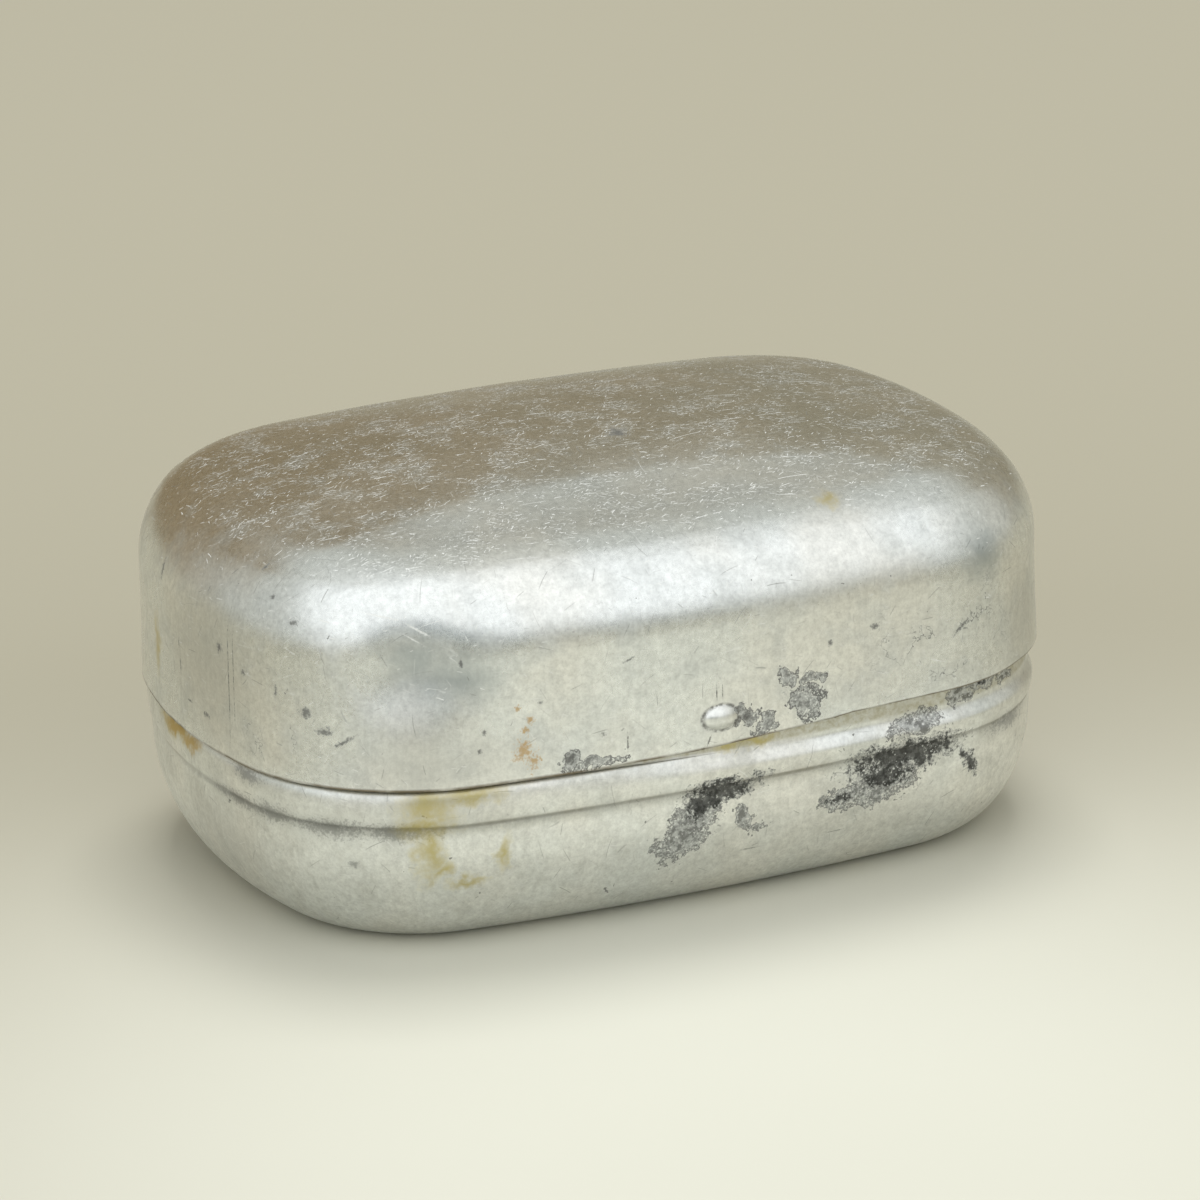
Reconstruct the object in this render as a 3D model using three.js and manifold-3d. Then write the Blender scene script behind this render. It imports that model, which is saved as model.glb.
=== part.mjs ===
import * as THREE from 'three';
import { mergeVertices } from 'three/addons/utils/BufferGeometryUtils.js';
import Module from 'manifold-3d';

// Aluminium soap tin: a drawn base with a rolled bead and a collar, and a drawn lid that lifts off.
// Millimetres, +Z up, the length along X, the origin under the middle of the base.

// Outline of the lid, seen from above
const LENGTH = 100; // across the middles of the ends
const WIDTH = 71; // across the middles of the long sides
const CORNER_RADIUS = 23.4;
const END_BOW = 1.2; // an end's middle beyond the corners beside it
const SIDE_BOW = 1.4; // a long side's middle beyond the corners beside it

// Sheet and fits
const SHEET = 0.8; // thickness of the drawn sheet
const SLIDE_GAP = 0.3; // lid wall to collar, all round
const SEAT_GAP = 0.3; // lid rim to the top of the bead
const PIP_GAP = 0.1; // collar pip to the lid wall that slides over it

// Base
const BASE_SET_BACK = 0.85; // base wall inside the lid outline
const FOOT_INSET = 8.9; // bottom curve, inwards from the base wall
const FOOT_HEIGHT = 13.75; // bottom curve, upwards from the table
const WALL_HEIGHT = 1.5; // top of the bottom curve to the crease under the bead
const BEAD_HEIGHT = 4.2; // crease to the top of the bead
const BEAD_PROUD = 0.43; // bead beyond the base wall
const COLLAR_RISE = 6.5; // top of the bead to the collar's cut edge

// Lid
const SKIRT_HEIGHT = 13.65; // rim to the start of the shoulder
const SKIRT_DRAFT = 0.14; // lean of the lid wall over its height
const SHOULDER_INSET = 10.5; // shoulder curve, inwards from the lid wall
const SHOULDER_HEIGHT = 11.45; // shoulder curve, upwards to where it would lie level
const CROWN_RISE = 3.5; // shoulder to the middle of the top
const RIM_RISE = 1.4; // the rim's trim is this much higher at the +X end
const RIM_RISE_FROM = -14; // where along the length the trim starts to climb
const RIM_RISE_OVER = 40; // length of that climb

// Catch pips, one pair on each long side
const PIP_LENGTH = 4.2;
const PIP_TALL = 2.7;
const PIP_PROUD = 0.7;
const PIP_OVER_SEAT = 4.0; // pip's middle above the top of the bead
const PIP_EDGE = 0.55; // footprint of a pip less that of the hollow behind it, on each side

// Facets
const END_STEPS = 4; // half of an end
const CORNER_STEPS = 9;
const SIDE_STEPS = 4; // half of a long side
const CURVE_STEPS = 6; // foot, bead and shoulder
const CROWN_STEPS = 4;
const PIP_STEPS = 12;

// Heights and insets that follow from the sizes above
const CREASE_HEIGHT = FOOT_HEIGHT + WALL_HEIGHT;
const BEAD_TOP = CREASE_HEIGHT + BEAD_HEIGHT;
const COLLAR_INSET = SHEET + SLIDE_GAP;
const COLLAR_TOP = BEAD_TOP + COLLAR_RISE;
const RIM_HEIGHT = BEAD_TOP + SEAT_GAP;
const SHOULDER_START = RIM_HEIGHT + SKIRT_HEIGHT;
const PIP_HEIGHT = BEAD_TOP + PIP_OVER_SEAT;
const HOLLOW_LENGTH = PIP_LENGTH - 2 * PIP_EDGE;
const HOLLOW_TALL = PIP_TALL - 2 * PIP_EDGE;
const CROWN_REACH = (LENGTH + WIDTH) / 4 - SHOULDER_INSET; // mean run from the shoulder to the middle
const CROWN_SLOPE = (2 * CROWN_RISE) / CROWN_REACH; // lean of the crown where the shoulder ends

const wasm = await Module();
wasm.setup();

// Outline made of tangent arcs: shallow ones for the sides and ends, round ones for the corners.
// Each point carries its outward direction, so an inset moves it straight inwards.
function makeOutline() {
  const cornerX = LENGTH / 2 - CORNER_RADIUS - END_BOW;
  const cornerY = WIDTH / 2 - CORNER_RADIUS - SIDE_BOW;
  const reach = cornerX ** 2 + cornerY ** 2;
  const endBack = (reach - (LENGTH / 2 - CORNER_RADIUS) ** 2) / (2 * END_BOW);
  const sideBack = (reach - (WIDTH / 2 - CORNER_RADIUS) ** 2) / (2 * SIDE_BOW);
  const endTurn = Math.atan2(cornerY, cornerX + endBack);
  const sideTurn = Math.atan2(cornerY + sideBack, cornerX);
  const quarter = [
    ...arc(-endBack, 0, LENGTH / 2 + endBack, 0, endTurn, END_STEPS),
    ...arc(cornerX, cornerY, CORNER_RADIUS, endTurn, sideTurn, CORNER_STEPS),
    ...arc(0, -sideBack, WIDTH / 2 + sideBack, sideTurn, Math.PI / 2, SIDE_STEPS),
  ];
  const middle = { at: new THREE.Vector2(0, WIDTH / 2), out: new THREE.Vector2(0, 1) };
  const mirrored = quarter.slice(1).reverse().map(flipX);
  const half = [...quarter, middle, ...mirrored];
  return [...half, ...half.map(turnHalf)];
}

// Points of one arc, its last point left to the next arc
function arc(centreX, centreY, radius, from, to, steps) {
  const points = [];
  for (let i = 0; i < steps; i += 1) {
    const angle = from + ((to - from) * i) / steps;
    const out = new THREE.Vector2(Math.cos(angle), Math.sin(angle));
    points.push({ at: new THREE.Vector2(centreX, centreY).addScaledVector(out, radius), out });
  }
  return points;
}

function flipX({ at, out }) {
  return { at: new THREE.Vector2(-at.x, at.y), out: new THREE.Vector2(-out.x, out.y) };
}

function turnHalf({ at, out }) {
  return { at: at.clone().negate(), out: out.clone().negate() };
}

const outline = makeOutline();

// A ring of the outline at one inset; the height is a number or a function of the point
function ring(inset, height) {
  return outline.map(({ at, out }) => {
    const p = at.clone().addScaledVector(out, -inset);
    return new THREE.Vector3(p.x, p.y, typeof height === 'function' ? height(p) : height);
  });
}

// Closed skin through a list of rings, from an upward-facing middle point to a downward-facing one
function skin(startMiddle, rings, endMiddle) {
  const count = outline.length;
  const points = [startMiddle, ...rings.flat(), endMiddle];
  const faces = [];
  const last = points.length - 1;
  for (let k = 0; k < count; k += 1) {
    const next = (k + 1) % count;
    faces.push(0, 1 + k, 1 + next);
    for (let r = 0; r + 1 < rings.length; r += 1) {
      const a = 1 + r * count;
      const b = a + count;
      faces.push(a + k, b + k, b + next);
      faces.push(a + k, b + next, a + next);
    }
    const rim = 1 + (rings.length - 1) * count;
    faces.push(last, rim + next, rim + k);
  }
  const geometry = new THREE.BufferGeometry().setFromPoints(points);
  geometry.setIndex(faces);
  return geometry;
}

// Even steps of an angle, both ends included
function turns(from, to) {
  return Array.from({ length: CURVE_STEPS + 1 }, (_, i) => from + ((to - from) * i) / CURVE_STEPS);
}

// Height of the lid's trimmed rim along the length
function rimHeight(p) {
  const climbed = THREE.MathUtils.smoothstep(p.x, RIM_RISE_FROM, RIM_RISE_FROM + RIM_RISE_OVER);
  return RIM_HEIGHT + RIM_RISE * climbed;
}

// One face of the lid from the rim up to the crown, set in by a depth of sheet
function lidRings(depth) {
  const across = SHOULDER_INSET - depth;
  const rise = SHOULDER_HEIGHT - depth;
  const wall = SKIRT_DRAFT + depth;
  const turn = Math.atan(rise / (across * CROWN_SLOPE));
  const rings = [ring(depth, rimHeight)];
  for (const t of turns(0, turn)) {
    rings.push(ring(wall + across * (1 - Math.cos(t)), SHOULDER_START + rise * Math.sin(t)));
  }
  const edge = rings.at(-1);
  for (let i = 1; i < CROWN_STEPS; i += 1) {
    rings.push(crownRing(edge, i / CROWN_STEPS));
  }
  return { rings, middle: new THREE.Vector3(0, 0, edge[0].z + CROWN_RISE) };
}

// The crown draws in from the shoulder's last ring and comes level at the middle
function crownRing(edge, share) {
  const left = 1 - share;
  return edge.map((p) => new THREE.Vector3(p.x * left, p.y * left, p.z + CROWN_RISE * (1 - left ** 2)));
}

// One face of the base from the bottom up to the collar's edge, set in by a depth of sheet
function baseRings(depth) {
  const wall = BASE_SET_BACK + depth;
  const neck = COLLAR_INSET + depth;
  const across = FOOT_INSET - depth;
  const rise = FOOT_HEIGHT - depth;
  const rings = [];
  for (const t of turns(Math.PI / 2, 0)) {
    rings.push(ring(wall + across * (1 - Math.cos(t)), FOOT_HEIGHT - rise * Math.sin(t)));
  }
  for (const t of turns(-Math.PI / 2, Math.PI / 2)) {
    const share = (1 + Math.sin(t)) / 2;
    const root = wall + (neck - wall) * share;
    const crest = BASE_SET_BACK - BEAD_PROUD + depth;
    rings.push(ring(root - (root - crest) * Math.cos(t), CREASE_HEIGHT + BEAD_HEIGHT * share));
  }
  rings.push(ring(neck, COLLAR_TOP));
  return { rings, middle: new THREE.Vector3(0, 0, depth) };
}

// Oval pip: half of it stands out of a wall whose face is at the given distance from the middle
function pip(face, length, proud, tall, side) {
  const geometry = new THREE.SphereGeometry(1, PIP_STEPS, PIP_STEPS);
  geometry.scale(length / 2, proud, tall / 2);
  geometry.translate(0, side * face, PIP_HEIGHT);
  return geometry;
}

function toSolid(geometry) {
  const bare = new THREE.BufferGeometry();
  bare.setAttribute('position', geometry.getAttribute('position'));
  bare.setIndex(geometry.getIndex());
  const merged = mergeVertices(bare);
  const vertProperties = new Float32Array(merged.getAttribute('position').array);
  const triVerts = new Uint32Array(merged.getIndex().array);
  return new wasm.Manifold(new wasm.Mesh({ numProp: 3, vertProperties, triVerts }));
}

function toMesh(name, solid, material) {
  const { vertProperties, triVerts } = solid.getMesh();
  const geometry = new THREE.BufferGeometry();
  geometry.setAttribute('position', new THREE.BufferAttribute(new Float32Array(vertProperties), 3));
  geometry.setIndex(new THREE.BufferAttribute(new Uint32Array(triVerts), 1));
  geometry.computeVertexNormals();
  const mesh = new THREE.Mesh(geometry, material);
  mesh.name = name;
  return mesh;
}

// Lid: outside from the middle down to the rim, then inside back up; a pip is pressed out of each side
function makeLid() {
  const outside = lidRings(0);
  const inside = lidRings(SHEET);
  const shell = skin(outside.middle, [...outside.rings.reverse(), ...inside.rings], inside.middle);
  let solid = toSolid(shell);
  for (const side of [-1, 1]) {
    const bump = pip(WIDTH / 2, PIP_LENGTH, PIP_PROUD, PIP_TALL, side);
    const hollow = pip(WIDTH / 2 - SHEET, HOLLOW_LENGTH, PIP_PROUD, HOLLOW_TALL, side);
    solid = solid.add(toSolid(bump)).subtract(toSolid(hollow));
  }
  return solid;
}

// Base: inside from the middle up to the collar, then outside back down; a low pip is on each side
function makeBase() {
  const outside = baseRings(0);
  const inside = baseRings(SHEET);
  const shell = skin(inside.middle, [...inside.rings, ...outside.rings.reverse()], outside.middle);
  let solid = toSolid(shell);
  const proud = SLIDE_GAP - PIP_GAP;
  for (const side of [-1, 1]) {
    const face = WIDTH / 2 - COLLAR_INSET;
    const bump = pip(face, HOLLOW_LENGTH, proud, HOLLOW_TALL, side);
    solid = solid.add(toSolid(bump));
  }
  return solid;
}

const lidMetal = new THREE.MeshStandardMaterial({ color: 0xc9c8c2, roughness: 0.32, metalness: 1 });
const baseMetal = new THREE.MeshStandardMaterial({ color: 0xc6c4bc, roughness: 0.42, metalness: 1 });

const tin = new THREE.Group();
tin.name = 'soap_tin';
tin.add(toMesh('base', makeBase(), baseMetal));
tin.add(toMesh('lid', makeLid(), lidMetal));

export default tin;
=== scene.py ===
from math import atan, atan2, ceil, cos, pi, radians, sin
import bpy
from mathutils import Matrix, Vector


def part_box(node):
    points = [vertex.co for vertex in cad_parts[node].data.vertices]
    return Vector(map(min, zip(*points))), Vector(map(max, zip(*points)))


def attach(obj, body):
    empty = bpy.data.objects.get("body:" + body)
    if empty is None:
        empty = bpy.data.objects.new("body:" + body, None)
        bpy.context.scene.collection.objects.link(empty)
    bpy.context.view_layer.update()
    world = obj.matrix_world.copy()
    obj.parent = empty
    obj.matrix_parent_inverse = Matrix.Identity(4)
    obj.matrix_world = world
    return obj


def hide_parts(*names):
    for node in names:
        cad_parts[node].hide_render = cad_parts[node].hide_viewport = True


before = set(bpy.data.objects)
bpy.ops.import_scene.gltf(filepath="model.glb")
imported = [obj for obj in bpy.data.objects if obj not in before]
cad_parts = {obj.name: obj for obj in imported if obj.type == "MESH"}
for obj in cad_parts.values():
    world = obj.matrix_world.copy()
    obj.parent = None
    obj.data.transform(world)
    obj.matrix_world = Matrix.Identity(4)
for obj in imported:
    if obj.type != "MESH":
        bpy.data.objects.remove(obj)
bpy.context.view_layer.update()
scene = bpy.context.scene
scene.view_settings.view_transform = "Standard"
mm = 0.001
print("frame loaded:", sorted(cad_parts))


def addNode(tree, kind, inputs=None, **settings):
    node = tree.nodes.new(kind)
    for name, value in settings.items():
        setattr(node, name, value)
    for key, value in (inputs or {}).items():
        socket = node.inputs[key]
        if isinstance(value, bpy.types.NodeSocket):
            tree.links.new(value, socket)
        else:
            socket.default_value = value
    return node


def put(tree, kind, inputs=None, **settings):  # the same, where only its first output is wanted
    return addNode(tree, kind, inputs, **settings).outputs[0]


def calc(tree, operation, a, b=None, c=None, clamp=False):
    inputs = {i: v for i, v in enumerate((a, b, c)) if v is not None}
    return put(tree, "ShaderNodeMath", inputs, operation=operation, use_clamp=clamp)


def chain(tree, operation, values):
    total = values[0]
    for value in values[1:]:
        total = calc(tree, operation, total, value)
    return total


def times(tree, *values):
    return chain(tree, "MULTIPLY", values)


def most(tree, *values):
    return chain(tree, "MAXIMUM", values)


def scaled(tree, value, factor, added):
    return calc(tree, "MULTIPLY_ADD", value, factor, added)


def centred(tree, value):  # a noise moved to run about 0
    return calc(tree, "SUBTRACT", value, 0.5)


def awayFrom(tree, value, middle):
    return calc(tree, "ABSOLUTE", calc(tree, "SUBTRACT", value, middle))


def vec(tree, operation, a, b=None, scale=None, out=0):
    inputs = {i: v for i, v in enumerate((a, b)) if v is not None}
    if scale is not None:
        inputs["Scale"] = scale
    return addNode(tree, "ShaderNodeVectorMath", inputs, operation=operation).outputs[out]


def parts(tree, vector):
    return addNode(tree, "ShaderNodeSeparateXYZ", {0: vector}).outputs


def joined(tree, inputs):
    return put(tree, "ShaderNodeCombineXYZ", inputs)


def ramp(tree, value, low, high, toLow=0.0, toHigh=1.0):
    inputs = {"Value": value, "From Min": low, "From Max": high, "To Min": toLow, "To Max": toHigh}
    return put(tree, "ShaderNodeMapRange", inputs, interpolation_type="SMOOTHSTEP")


def maskOf(tree, *values):  # multiplied; a pair is a value and the fade that it goes through
    return times(tree, *[ramp(tree, v[0], *v[1]) if isinstance(v, tuple) else v for v in values])


def mixed(tree, factor, a, b, kind="RGBA"):
    inputs = {"Factor": factor, "A": a, "B": b}
    return addNode(tree, "ShaderNodeMix", inputs, data_type=kind).outputs["Result"]


def noise(tree, place, scale, detail, rough=0.5):
    inputs = {"Vector": place, "Scale": scale, "Detail": detail, "Roughness": rough}
    return put(tree, "ShaderNodeTexNoise", inputs)


def addSockets(tree, kind, names, way="INPUT"):
    for name in names:
        tree.interface.new_socket(name, in_out=way, socket_type="NodeSocket" + kind)


def addObject(name, data):
    thing = bpy.data.objects.new(name, data)
    scene.collection.objects.link(thing)
    return thing


# Camera: the angle the tin is seen from, with a long lens

cameraSetup = {
    "azimuth": -23.51, "elevation": 18.94, "roll": -1.565,  # degrees
    "distance": 704.8, "aside": -0.682, "below": -24.8,  # mm, from the middle of the bottom
    "lens": 183.75, "sensor": 36.0,  # mm
    "near": 0.01, "far": 20.0,  # m, what is cut off
}


def makeCamera(setup):
    az, el, roll = (radians(setup[k]) for k in ("azimuth", "elevation", "roll"))
    back = Vector((sin(az) * cos(el), -cos(az) * cos(el), sin(el)))
    right = Vector((cos(az), sin(az), 0))
    up = back.cross(right)
    across = right * cos(roll) + up * sin(roll)
    upward = up * cos(roll) - right * sin(roll)
    place = back * setup["distance"] - across * setup["aside"] - upward * setup["below"]
    data = bpy.data.cameras.new("camera")
    data.lens, data.sensor_width = setup["lens"], setup["sensor"]
    data.clip_start, data.clip_end = setup["near"], setup["far"]
    camera = addObject("camera", data)
    turned = Matrix((across, upward, back)).transposed().to_4x4()
    camera.matrix_world = Matrix.Translation(place * mm) @ turned
    scene.camera = camera


makeCamera(cameraSetup)
print("camera set")


# Outline shared by lid and base: shallow arcs for sides and ends, round arcs for corners

lidLow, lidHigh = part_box("lid")
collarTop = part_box("base")[1].z / mm
pip = {"length": 4.2, "tall": 2.7, "proud": 0.7, "overBead": 4.0, "margin": 0.5}  # mm
innerPip = {"smaller": 1.1, "proud": 0.2}  # mm, the collar's pip against the lid's
outline = {
    "length": (lidHigh.x - lidLow.x) / mm,
    "width": (lidHigh.y - lidLow.y) / mm - 2 * pip["proud"],
    "corner": 23.4, "endBow": 1.2, "sideBow": 1.4,
    "step": 1.1, "fineStep": 0.15, "fineSpan": 3.4,  # fine steps beside the pips
}


def arcPoints(centre, radius, start, end, step):
    count = max(2, ceil(abs(end - start) * radius / step))
    angles = [start + (end - start) * i / count for i in range(count)]
    return [(centre[0] + radius * cos(a), centre[1] + radius * sin(a)) for a in angles]


def outlinePoints(shape):
    halfLong, halfWide, corner = shape["length"] / 2, shape["width"] / 2, shape["corner"]
    cornerX, cornerY = halfLong - corner - shape["endBow"], halfWide - corner - shape["sideBow"]
    reach = cornerX ** 2 + cornerY ** 2
    endBack = (reach - (halfLong - corner) ** 2) / (2 * shape["endBow"])
    sideBack = (reach - (halfWide - corner) ** 2) / (2 * shape["sideBow"])
    endTurn = atan2(cornerY, cornerX + endBack)
    sideTurn = atan2(cornerY + sideBack, cornerX)
    sideRadius = halfWide + sideBack
    fineTurn = pi / 2 - shape["fineSpan"] / sideRadius
    quarter = arcPoints((-endBack, 0), halfLong + endBack, 0, endTurn, shape["step"])
    quarter += arcPoints((cornerX, cornerY), corner, endTurn, sideTurn, shape["step"])
    quarter += arcPoints((0, -sideBack), sideRadius, sideTurn, fineTurn, shape["step"])
    quarter += arcPoints((0, -sideBack), sideRadius, fineTurn, pi / 2, shape["fineStep"])
    half = quarter + [(0, halfWide)] + [(-x, y) for x, y in reversed(quarter[1:])]
    return half + [(-x, -y) for x, y in half]


# Sections of the two shells in mm: each point is an inset from the outline, a height and its notes.
# draw runs from 0 at the curve's end to 1 at the middle, side is 1 outside and -1 inside, trim is 1
# at the rim, soften is where crown and shoulder melt together, and sinkIn and sinkDown are how far
# a point of the bead gives where it is rolled softer.

sheet, slideGap, seatGap, edgeRound, edgeStart = 0.8, 0.3, 0.3, 0.18, 0.4
base = {
    "setBack": 0.85, "footIn": 8.9, "footUp": 13.75, "crease": 15.25, "beadUp": 4.2,
    "beadProud": 0.43, "softFrom": 16.9, "softTo": 18.9, "softStart": -24.0, "softFull": 14.0,
    "softFade": 3.0,
}
lid = {
    "skirt": 13.65, "draft": 0.14, "shoulderIn": 10.5, "shoulderUp": 11.45, "crown": 3.5,
    "rimRise": 1.4, "riseFrom": -14.0, "riseOver": 40.0, "ragged": 0.16, "trimFade": 4.5,
}
beadTop = base["crease"] + base["beadUp"]
rimHeight = beadTop + seatGap
pipHeight = beadTop + pip["overBead"]
melt = {"drawFrom": 0.5, "drawOver": 0.25, "turnFrom": 0.6, "turnOver": 0.2}
rings = {  # how many steps each stretch of a section takes
    "top": 26, "shoulder": 30, "upperWall": 12, "pip": 26, "lowerWall": 5, "edge": 3,
    "bottom": 12, "foot": 30, "bead": 22, "collar": 24,
}


def point(inset, height, draw=0.0, side=1.0, trim=0.0, soften=0.0, sinkIn=0.0, sinkDown=0.0):
    return {"inset": inset, "height": height, "draw": draw, "side": side, "trim": trim,
            "soften": soften, "sinkIn": sinkIn, "sinkDown": sinkDown}


def steps(start, end, count):
    return [start + (end - start) * i / count for i in range(count + 1)]


def limited(value):
    return max(0.0, min(1.0, value))


def lidFace(depth, side):  # one face of the sheet, from the middle of the top down to the rim
    across, rise, wall = lid["shoulderIn"] - depth, lid["shoulderUp"] - depth, lid["draft"] + depth
    start = rimHeight + lid["skirt"]
    slope = 2 * lid["crown"] / ((outline["length"] + outline["width"]) / 4 - lid["shoulderIn"])
    turn = atan(rise / (across * slope))
    endIn, endUp = wall + across * (1 - cos(turn)), start + rise * sin(turn)
    face = []
    for draw in steps(1, 0, rings["top"])[:-1]:
        soften = limited((melt["drawFrom"] - draw) / melt["drawOver"])
        height = endUp + lid["crown"] * (1 - (1 - draw) ** 2)
        face.append(point(endIn, height, draw, side, soften=soften))
    for t in steps(turn, 0, rings["shoulder"])[:-1]:
        soften = limited((t / turn - melt["turnFrom"]) / melt["turnOver"])
        inset, height = wall + across * (1 - cos(t)), start + rise * sin(t)
        face.append(point(inset, height, 0, side, soften=soften))
    fine = pip["tall"] / 2 + pip["margin"]
    heights = steps(start, pipHeight + fine, rings["upperWall"])[:-1]
    heights += steps(pipHeight + fine, pipHeight - fine, rings["pip"])[:-1]
    heights += steps(pipHeight - fine, rimHeight + edgeRound, rings["lowerWall"])
    for height in heights:
        trim = max(0.0, 1 - (height - rimHeight) / lid["trimFade"])
        inset = depth + lid["draft"] * (height - rimHeight) / lid["skirt"]
        face.append(point(inset, height, 0, side, trim))
    return face


def roundedEdge(inset, height, way, trim=0.0):  # outer half of a sheet's cut edge
    turns = steps(edgeStart, pi / 2, rings["edge"])
    sides = [(edgeRound * (1 - cos(a)), way * edgeRound * (1 - sin(a))) for a in turns]
    return [point(inset + across, height + up, trim=trim) for across, up in sides]


def lidSection():
    outside, inside = lidFace(0, 1.0), lidFace(sheet, -1.0)
    edge = roundedEdge(0, rimHeight, 1, trim=1.0)
    back = [dict(p, inset=sheet - p["inset"], side=-1.0) for p in reversed(edge)]
    return outside + edge + back + inside[::-1]


def baseFace(depth, side):  # from the middle of the bottom up to the collar's edge
    wall, neck = base["setBack"] + depth, sheet + slideGap + depth
    across, rise = base["footIn"] - depth, base["footUp"] - depth
    crest = base["setBack"] - base["beadProud"] + depth
    face = [point(wall + across, depth, draw, side) for draw in steps(1, 0, rings["bottom"])[:-1]]
    for t in steps(pi / 2, 0, rings["foot"]):
        inset, height = wall + across * (1 - cos(t)), base["footUp"] - rise * sin(t)
        face.append(point(inset, height, 0, side))
    for t in steps(-pi / 2, pi / 2, rings["bead"]):
        share = (1 + sin(t)) / 2
        root = wall + (neck - wall) * share
        inset = root - (root - crest) * cos(t)
        height = base["crease"] + base["beadUp"] * share
        part = max(0.0, (height - base["softFrom"]) / (beadTop - base["softFrom"]))
        softIn = crest + (neck - crest) * (1 - cos(pi * part)) / 2
        softUp = base["softFrom"] + (base["softTo"] - base["softFrom"]) * part
        sink = (softIn - inset, softUp - height) if part > 0 else (0, 0)
        face.append(point(inset, height, 0, side, sinkIn=sink[0], sinkDown=sink[1]))
    for height in steps(beadTop, collarTop - edgeRound, rings["collar"])[1:]:
        fade = max(0.0, 1 - (height - beadTop) / base["softFade"])
        face.append(point(neck, height, 0, side, sinkDown=(base["softTo"] - beadTop) * fade))
    return face


def baseSection():
    outside, inside = baseFace(0, 1.0), baseFace(sheet, -1.0)
    neck = sheet + slideGap
    edge = roundedEdge(neck, collarTop, -1)
    back = [dict(p, inset=2 * neck + sheet - p["inset"], side=-1.0) for p in reversed(edge)]
    return inside + back[::-1] + edge[::-1] + outside[::-1]


def lineObject(name, coords, closed=False, notes=None):
    mesh = bpy.data.meshes.new(name)
    count = len(coords)
    links = [(i, (i + 1) % count) for i in range(count if closed else count - 1)]
    mesh.from_pydata(coords, links, [])
    for key, values in (notes or {}).items():
        mesh.attributes.new(key, "FLOAT", "POINT").data.foreach_set("value", values)
    return addObject(name, mesh)


def sectionObject(name, points):
    coords = [(-p["inset"] * mm, -p["height"] * mm, 0) for p in points]
    notes = {key: [p[key] for p in points] for key in points[0] if key not in ("inset", "height")}
    return lineObject(name, coords, notes=notes)


# Geometry Nodes tree that presses a shell: sweeps a section round the outline, draws its middle
# closed, trims the rim, softens the bead, presses the pips and leaves shallow dents

shellInputs = {
    "Geometry": ["Geometry"], "Object": ["Outline"], "Material": ["Material"],
    "Vector": ["Knock At", "Knock Half", "Hollow At", "Hollow Half"],
    "Float": [
        "Rim Rise", "Rise From", "Rise To", "Ragged", "Soft Bead", "Pip Height", "Pip Length",
        "Pip Tall", "Pip Proud", "Dent Depth", "Dent Size", "Dent Seed", "Dent From",
        "Knock Deep", "Hollow Deep"],
}
pressing = {
    "merge": 0.002, "meltRounds": 16,  # mm, rounds of smoothing
    "nickScale": 190.0, "nickDetail": 3.0, "nicks": (0.45, 0.8),
    "dome": 0.8,  # power that rounds a pip
    "dentDetail": 1.0, "dents": (0.3, 0.75), "dentFade": 6.0,  # mm
}


def noteNode(tree, name, kind="FLOAT"):
    return put(tree, "GeometryNodeInputNamedAttribute", {"Name": name}, data_type=kind)


def placeNode(tree):
    return put(tree, "GeometryNodeInputPosition")


def moved(tree, shell, **where):
    return put(tree, "GeometryNodeSetPosition", {"Geometry": shell, **where})


def sweepSection(tree, given):
    info = addNode(tree, "GeometryNodeObjectInfo", {"Object": given["Outline"]})
    path = addNode(tree, "GeometryNodeMeshToCurve", {"Mesh": info.outputs["Geometry"]})
    level = addNode(tree, "GeometryNodeSetCurveNormal", {"Curve": path.outputs[0]}, mode="Z_UP")
    tangent = put(tree, "GeometryNodeInputTangent")
    outward = vec(tree, "CROSS_PRODUCT", tangent, (0, 0, 1))
    noted = {"Geometry": level.outputs[0], "Name": "outward", "Value": outward}
    marked = addNode(tree, "GeometryNodeStoreNamedAttribute", noted, data_type="FLOAT_VECTOR")
    section = addNode(tree, "GeometryNodeMeshToCurve", {"Mesh": given["Geometry"]})
    curves = {"Curve": marked.outputs[0], "Profile Curve": section.outputs[0]}
    return put(tree, "GeometryNodeCurveToMesh", curves)


def closeMiddle(tree, shell):  # rings shrink to a point, then crown and shoulder melt together
    position = placeNode(tree)
    x, y, z = parts(tree, position)
    keep = calc(tree, "SUBTRACT", 1.0, noteNode(tree, "draw"))
    drawn = joined(tree, {0: times(tree, x, keep), 1: times(tree, y, keep), 2: z})
    loose = {"Geometry": moved(tree, shell, Position=drawn), "Distance": pressing["merge"] * mm}
    shell = put(tree, "GeometryNodeMergeByDistance", loose)
    rounds, soften = pressing["meltRounds"], noteNode(tree, "soften")
    blur = {"Value": position, "Iterations": rounds, "Weight": soften}
    softer = put(tree, "GeometryNodeBlurAttribute", blur, data_type="FLOAT_VECTOR")
    return moved(tree, shell, Position=softer)


def trimRim(tree, shell, given):  # cut higher towards one end, and a little ragged
    position = placeNode(tree)
    x = parts(tree, position)[0]
    climb = times(tree, ramp(tree, x, given["Rise From"], given["Rise To"]), given["Rim Rise"])
    nick = noise(tree, position, pressing["nickScale"], pressing["nickDetail"])
    nick = maskOf(tree, (nick, pressing["nicks"]), given["Ragged"])
    lift = times(tree, calc(tree, "ADD", climb, nick), noteNode(tree, "trim"))
    return moved(tree, shell, Offset=joined(tree, {2: lift}))


def softenBead(tree, shell, given):  # rolled softer towards one end
    x = parts(tree, placeNode(tree))[0]
    soft = times(tree, ramp(tree, x, given["Rise From"], given["Rise To"]), given["Soft Bead"])
    outward = noteNode(tree, "outward", "FLOAT_VECTOR")
    inward = vec(tree, "SCALE", outward, scale=times(tree, noteNode(tree, "sinkIn"), -1.0))
    sunk = vec(tree, "ADD", inward, joined(tree, {2: noteNode(tree, "sinkDown")}))
    return moved(tree, shell, Offset=vec(tree, "SCALE", sunk, scale=soft))


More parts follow.
